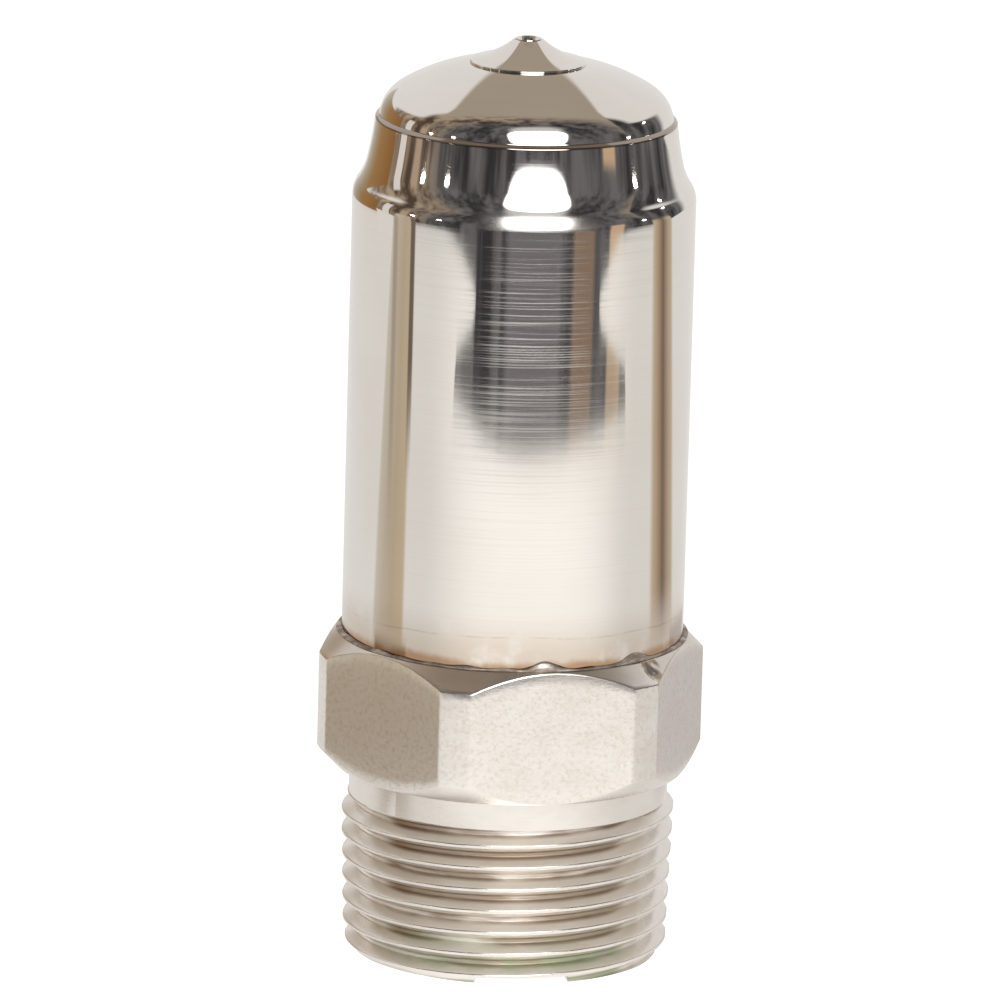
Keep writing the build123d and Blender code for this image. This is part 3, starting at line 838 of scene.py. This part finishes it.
def panel(name, bearing, elevation, distance, half_width, half_height, power, material):
    """Lamp that faces the object: an ellipse, or a rounded rectangle when `power` is below 1.
    "across" and "along" run from 0.5 in the middle to 1 at its rim."""
    a = facing(bearing)
    e = math.radians(elevation)
    away = Vector((math.cos(a) * math.cos(e), math.sin(a) * math.cos(e), math.sin(e)))
    side = away.cross(Vector((0, 0, 1))).normalized()
    upward = side.cross(away).normalized()
    centre = away * distance + Vector((0, 0, LAMP_TARGET_Z))
    points, rim, sides = [centre], [0.5], 64
    for i in range(sides):
        t = 2 * math.pi * i / sides
        u = math.copysign(abs(math.cos(t)) ** power, math.cos(t)) * half_width
        v = math.copysign(abs(math.sin(t)) ** power, math.sin(t)) * half_height
        points.append(centre + side * u + upward * v)
        rim.append(1.0)
    faces = [(0, i + 1, (i + 1) % sides + 1) for i in range(sides)]
    points = [tuple(p) for p in points]
    stage_mesh(name, points, faces, material, attributes={"across": rim, "along": rim})


def camera_side():
    """Unit vectors to the main camera's right and away from it, level with the floor."""
    a = math.radians(CAMERA_AZIMUTH)
    return Vector((math.cos(a), math.sin(a), 0)), Vector((-math.sin(a), math.cos(a), 0))


def build_world():
    """White backdrop for the camera; a dim room with a pale wall behind for reflections."""
    room_dark = (0.036, 0.034, 0.038)
    room_pale = (0.16, 0.155, 0.16)
    shelf_dark = (0.09, 0.06, 0.045)
    shelf_pale = (0.46, 0.35, 0.25)
    wall_pale = (0.82, 0.80, 0.79)
    ceiling_tan = (0.41, 0.35, 0.285)
    world = bpy.data.worlds.new("studio")
    bpy.context.scene.world = world
    tree = empty_tree(world)
    way = node(tree, "TexCoord").outputs["Generated"]
    right, away = camera_side()
    x = node(tree, "VectorMath", {0: way, 1: right}, operation="DOT_PRODUCT").outputs["Value"]
    y = node(tree, "VectorMath", {0: way, 1: away}, operation="DOT_PRODUCT").outputs["Value"]
    z = node(tree, "SeparateXYZ", {0: way}).outputs["Z"]

    # the room in front, with shelves on its left, and the pale wall behind
    clutter = noise(tree, way, (7, 7, 1.1), detail=3)
    room = mix(tree, step(tree, clutter, 0.34, 0.68), room_dark, room_pale)
    shelf = mix(tree, step(tree, clutter, 0.36, 0.64), shelf_dark, shelf_pale)
    left_side = product(tree, step(tree, y, -0.5, -0.05), step(tree, x, 0.5, -0.2))
    colour = mix(tree, left_side, room, shelf)
    beyond = maths(tree, "SUBTRACT", y, step(tree, z, 0.25, 0.55, 0.5, 0.0))
    colour = mix(tree, step(tree, beyond, 0.10, 0.24), colour, wall_pale)

    # the lit ceiling: a funnel, wide overhead, that narrows down to the back
    lit = mix(tree, step(tree, y, -0.25, 0.15), colour, ceiling_tan)
    side = maths(tree, "ABSOLUTE", x)
    narrowing = product(tree, side, maths(tree, "MULTIPLY_ADD", z, 0.265, y))
    funnel = maths(tree, "SUBTRACT", product(tree, z, z, 0.354), narrowing)
    above = product(tree, step(tree, funnel, -0.01, 0.02), step(tree, z, 0.2, 0.35))
    colour = mix(tree, above, colour, lit)

    reflected = node(tree, "Background", {"Color": colour, "Strength": 1.0}).outputs[0]
    white = node(tree, "Background", {"Color": (1, 1, 1, 1), "Strength": 1.05}).outputs[0]
    seen = node(tree, "LightPath").outputs["Is Camera Ray"]
    both = node(tree, "MixShader", {0: seen, 1: reflected, 2: white}).outputs[0]
    node(tree, "OutputWorld", {"Surface": both})


def build_floor():
    """Pale floor that the camera sees, clear from below."""
    span, level = 6000, -0.05
    material = bpy.data.materials.new("pale_floor")
    tree = empty_tree(material)
    diffuse = node(tree, "BsdfDiffuse", {"Color": (0.5, 0.5, 0.5, 1)}).outputs[0]
    light = node(tree, "Emission", {"Color": (1, 1, 1, 1), "Strength": 0.92}).outputs[0]
    pale = node(tree, "AddShader", {0: diffuse, 1: light}).outputs[0]
    clear = node(tree, "BsdfTransparent").outputs[0]
    below = node(tree, "NewGeometry").outputs["Backfacing"]
    shown = node(tree, "MixShader", {0: below, 1: pale, 2: clear}).outputs[0]
    node(tree, "OutputMaterial", {"Surface": shown})
    square = [(-span, -span, level), (span, -span, level), (span, span, level), (-span, span, level)]
    stage_mesh("floor", square, [(0, 1, 2, 3)], material, seen=True)


def paper_reach(bearing):
    """How far the paper reaches from the axis: its edge bows out towards both front corners."""
    gap = (bearing - PAPER_BEARING + 180) % 360 - 180
    bow, corner = (15, 70) if gap > 0 else (24, 52)
    hidden = max(abs(gap) - BEHIND_CARDS, 0)
    return PAPER_REACH + bow * (gap / corner) ** 2 + 20 * hidden


def build_paper():
    """Sheet of white paper under the object, which only the metal reflects."""
    level, sides = -0.1, 180
    points, faces = [(0, 0, level)], []
    for i in range(sides):
        bearing = i * 360 / sides
        reach = paper_reach(bearing)
        points.append((reach * math.cos(facing(bearing)), reach * math.sin(facing(bearing)), level))
        faces.append((0, i + 1, (i + 1) % sides + 1))
    stage_mesh("paper", points, faces, glow("paper_white", PAPER_COLOUR, PAPER_STRENGTH, falloff=True))


def build_lobe(name, tip, side, length, material):
    """White card at one side (-1 left, 1 right) that ends in front in a rounded lobe with its
    tip at a bearing. Its foot starts `length` degrees from the tip."""
    def top(bearing):
        gap = abs(bearing - tip)
        rounded = math.sqrt(min(gap / LOBE_ROUNDING, 1))
        climbed = 1 - max(1 - gap / LOBE_CLIMB_SPAN, 0) ** 2
        return LOBE_TIP_Z + LOBE_OVER_TIP * rounded + LOBE_CLIMB * climbed

    def bottom(bearing):
        gap = abs(bearing - tip)
        rounded = math.sqrt(min(gap / LOBE_ROUNDING, 1))
        fall = LOBE_SLOPE * max(gap - LOBE_ROUNDING, 0) + FOOT_SLOPE * max(gap - length, 0)
        return LOBE_TIP_Z - LOBE_UNDER_TIP * rounded - fall

    span = (tip, tip + LOBE_SPAN * side)
    wall(name, span, LOBE_DISTANCE, bottom, top, material, steps=150)


def build_lamps():
    """Window with the sky round it, and small bright lamps about the room."""
    window = glow("window_white", (1, 0.995, 0.985), 6.0, soft=0.09)
    panel("window", WINDOW_BEARING, 26, LAMP_DISTANCE, 395, 355, 0.55, window)
    sky = glow("sky_grey", (0.60, 0.60, 0.61), soft=0.2)
    panel("sky", WINDOW_BEARING, 38, LAMP_DISTANCE + 50, 420, 480, 0.6, sky)
    lamp = glow("lamp_white", (1, 0.97, 0.9), 14.0)
    for bearing, elevation in ((-79, 7), (-58, 9), (87, 6), (113, 21)):
        panel(f"lamp_{abs(bearing)}", bearing, elevation, LAMP_DISTANCE, 30, 16, 1, lamp)


def build_cards():
    """Cards round the object: two white lobes, striped ones for the bands down the shell's
    sides, and plain ones for the shade near it and for what stands in the room."""
    white = glow("card_white", PAPER_COLOUR, PAPER_STRENGTH, falloff=True)
    build_lobe("left_card", -29, -1, 12, white)
    build_lobe("right_card", 51, 1, 21, white)

    # name, bearings, bearings at the top, distance, bottom, top, softness, stripes
    striped = (
        ("left_gap", (-101, -70), (-84, -68), 62, 12, 66, 0.1, (
            (0.0, (0.66, 0.62, 0.56)), (0.3, (0.56, 0.49, 0.40)),
            (0.6, (0.52, 0.43, 0.32)), (1.0, (0.60, 0.49, 0.35)),
        )),
        ("right_gap", (95, 128), (83, 101), 62, 12, 66, 0.14, (
            (0.0, (0.66, 0.58, 0.46)), (0.28, (0.46, 0.34, 0.24)), (0.5, (0.20, 0.145, 0.11)),
            (0.7, (0.46, 0.35, 0.26)), (1.0, (0.64, 0.57, 0.46)),
        )),
        ("amber", (-163, -112), (-163, -112), 300, 0, 135, 0.06, (
            (0.0, (0.62, 0.56, 0.50)), (0.3, (0.40, 0.33, 0.25)),
            (0.5, (0.36, 0.21, 0.09)), (1.0, (0.28, 0.13, 0.04)),
        )),
    )
    for name, span, top_span, distance, bottom, top, soft, stripes in striped:
        tones = glow(name + "_stripes", (1, 1, 1), soft=soft, stripes=stripes)
        wall(name, span, distance, bottom, top, tones, top_span)

    # name, bearings, distance, bottom, top, softness, colour
    plain = (
        ("left_line", (-73, -68), 60, 28, 70, 0.3, (0.17, 0.13, 0.10)),
        ("left_line_2", (-88, -82), 60, 20, 70, 0.4, (0.42, 0.36, 0.30)),
        ("shade", (-97, -67), 60, -6, 16, 0.08, (0.37, 0.295, 0.22)),
        ("back_shade", (120, 152), 60, -6, 16, 0.08, (0.58, 0.55, 0.54)),
        ("person", (-14, 30), 420, -60, -2, 0.15, (0.18, 0.168, 0.182)),
        ("door", (32, 50), 430, -60, 0, 0.2, (0.27, 0.19, 0.14)),
        ("curtain", (58, 71), 430, -70, 110, 0.2, (0.62, 0.44, 0.29)),
        ("left_trim", (-107, -99), 300, 0, 170, 0.12, (0.78, 0.74, 0.70)),
    )
    for name, span, distance, bottom, top, soft, colour in plain:
        wall(name, span, distance, bottom, top, glow(name + "_tone", colour, soft=soft))


def build_camera():
    """Main camera, aimed so that the object sits in the frame as it does in the photo."""
    a = math.radians(CAMERA_AZIMUTH)
    e = math.radians(CAMERA_ELEVATION)
    back = Vector((math.sin(a) * math.cos(e), -math.cos(a) * math.cos(e), math.sin(e)))
    data = bpy.data.cameras.new("camera")
    data.sensor_width = SENSOR_WIDTH
    data.lens = SENSOR_WIDTH * FOCAL
    data.clip_end = 100
    camera = add_object("camera", data)
    aim = (-back).to_track_quat("-Z", "Y")
    roll = Matrix.Rotation(math.radians(CAMERA_ROLL), 3, "Z").to_quaternion()
    target = Vector((TARGET_RIGHT / FOCAL, TARGET_UP / FOCAL, -1))
    offset = target.rotation_difference(Vector((0, 0, -1)))
    camera.rotation_mode = "QUATERNION"
    camera.rotation_quaternion = aim @ roll @ offset
    camera.location = Vector((0, 0, CAMERA_TARGET_Z * MM)) + back * CAMERA_DISTANCE * MM
    bpy.context.scene.camera = camera


# ---------------------------------------------------------------- assembly

def finish_cad_pieces(finishes):
    """Metals for the CAD nodes that stay, by their material slots."""
    slots = {part["node"]: part["material_slot"] for part in frame["record"]["subparts"]}
    for name, piece in frame["nodes"].items():
        if piece.hide_render:
            continue
        piece.data.materials.clear()
        piece.data.materials.append(finishes[slots[name]])


nickel = polished_nickel()
solder = solder_skin()
build_shell(nickel)
build_base(machined_nickel())
build_solder(solder)
build_port(nickel)
finish_cad_pieces({
    "solder": solder,
    "brass": worked_metal("brass", (0.84, 0.66, 0.36), (0.70, 0.50, 0.25), 0.20, 2500),
    "phosphor_bronze": worked_metal("phosphor_bronze", (0.80, 0.54, 0.33), (0.62, 0.36, 0.20), 0.24, 400),
    "stainless": worked_metal("stainless", (0.66, 0.66, 0.66), (0.52, 0.51, 0.50), 0.16, 5000),
})

build_world()
build_floor()
build_paper()
build_cards()
build_lamps()
build_camera()
bpy.context.scene.view_settings.view_transform = "Standard"
